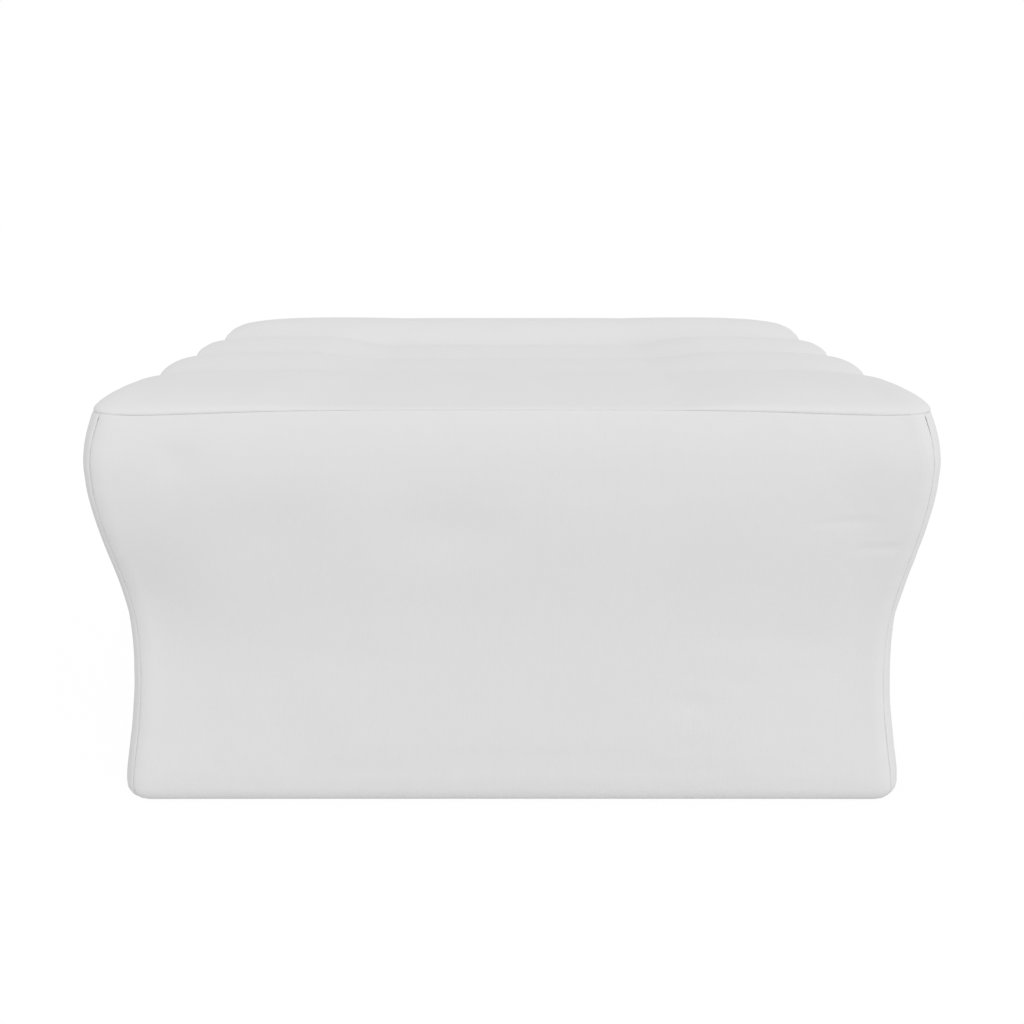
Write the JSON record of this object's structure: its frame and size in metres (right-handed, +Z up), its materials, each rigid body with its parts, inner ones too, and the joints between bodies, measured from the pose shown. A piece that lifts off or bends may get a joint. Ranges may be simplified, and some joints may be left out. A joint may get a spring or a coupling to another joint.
{
  "type": "camp pillow",
  "caption": "Air-filled camp pillow: block-shaped knit cover with a rolled top, an inner bladder held by baffles, a zip across the back and a flat valve in one end.",
  "frame": {"origin": "centre of the footprint, on the surface that the pillow stands on", "axes": "+X towards the end wall with the valve, along the rolls; +Y towards the back wall with the zip; +Z up"},
  "size_m": [0.36, 0.3, 0.1856],
  "materials": {
    "knit_cover": "matte",
    "tape": "matte",
    "wadding": "matte",
    "film": "satin",
    "zip_nylon": "satin",
    "zip_metal": "satin",
    "valve_moulding": "satin",
    "silicone": "satin"
  },
  "bodies": {
    "pillow": {"cover_front_wall": "knit_cover", "cover_left_wall": "knit_cover", "cover_right_wall": "knit_cover", "cover_back_lower": "knit_cover", "cover_back_upper": "knit_cover", "zip_end_tab_left": "knit_cover", "zip_end_tab_right": "knit_cover", "cover_top": "knit_cover", "cover_base": "knit_cover", "corner_binding_front_left": "tape", "corner_binding_front_right": "tape", "corner_binding_back_right": "tape", "corner_binding_back_left": "tape", "top_seam_binding": "tape", "base_seam_binding": "tape", "wadding_pad": "wadding", "bladder_top": "film", "bladder_base": "film", "bladder_wall": "film", "baffle_front": "film", "baffle_middle": "film", "baffle_back": "film", "zip_tape_upper": "tape", "zip_tape_lower": "tape", "zip_coil_upper": "zip_nylon", "zip_coil_lower": "zip_nylon", "zip_stop_closed_end": "zip_nylon", "zip_stop_open_end": "zip_nylon", "valve_port_binding": "tape", "valve_weld_flange": "film", "valve_seat": "valve_moulding"},
    "slider": {"zip_slider": "zip_metal"},
    "pull": {"zip_pull": "zip_metal"},
    "release_ring": {"valve_release_ring": "valve_moulding"},
    "cap": {"valve_cap": "valve_moulding"},
    "flap": {"valve_flap": "silicone"}
  },
  "joints": [
    {"name": "zip_slide", "type": "slide", "parent": "pillow", "child": "slider", "axis": [1, 0, 0], "range_m": [-0.2734, 0]},
    {"name": "pull_hinge", "type": "hinge", "parent": "slider", "child": "pull", "pos_m": [0.1367, 0.14365, 0.073], "axis": [0, 0, -1], "range_deg": [0, 165]},
    {"name": "release_ring_hinge", "type": "hinge", "parent": "pillow", "child": "release_ring", "pos_m": [0.17692, 0.05, 0.0552], "axis": [0, 1, 0], "range_deg": [0, 110]},
    {"name": "cap_hinge", "type": "hinge", "parent": "release_ring", "child": "cap", "pos_m": [0.17882, 0.0388, 0.073], "axis": [0, 0, -1], "range_deg": [0, 140]},
    {"name": "flap_lift", "type": "slide", "parent": "release_ring", "child": "flap", "axis": [1, 0, 0], "range_m": [-0.0012, 0], "stiffness_N_per_m": 20}
  ]
}
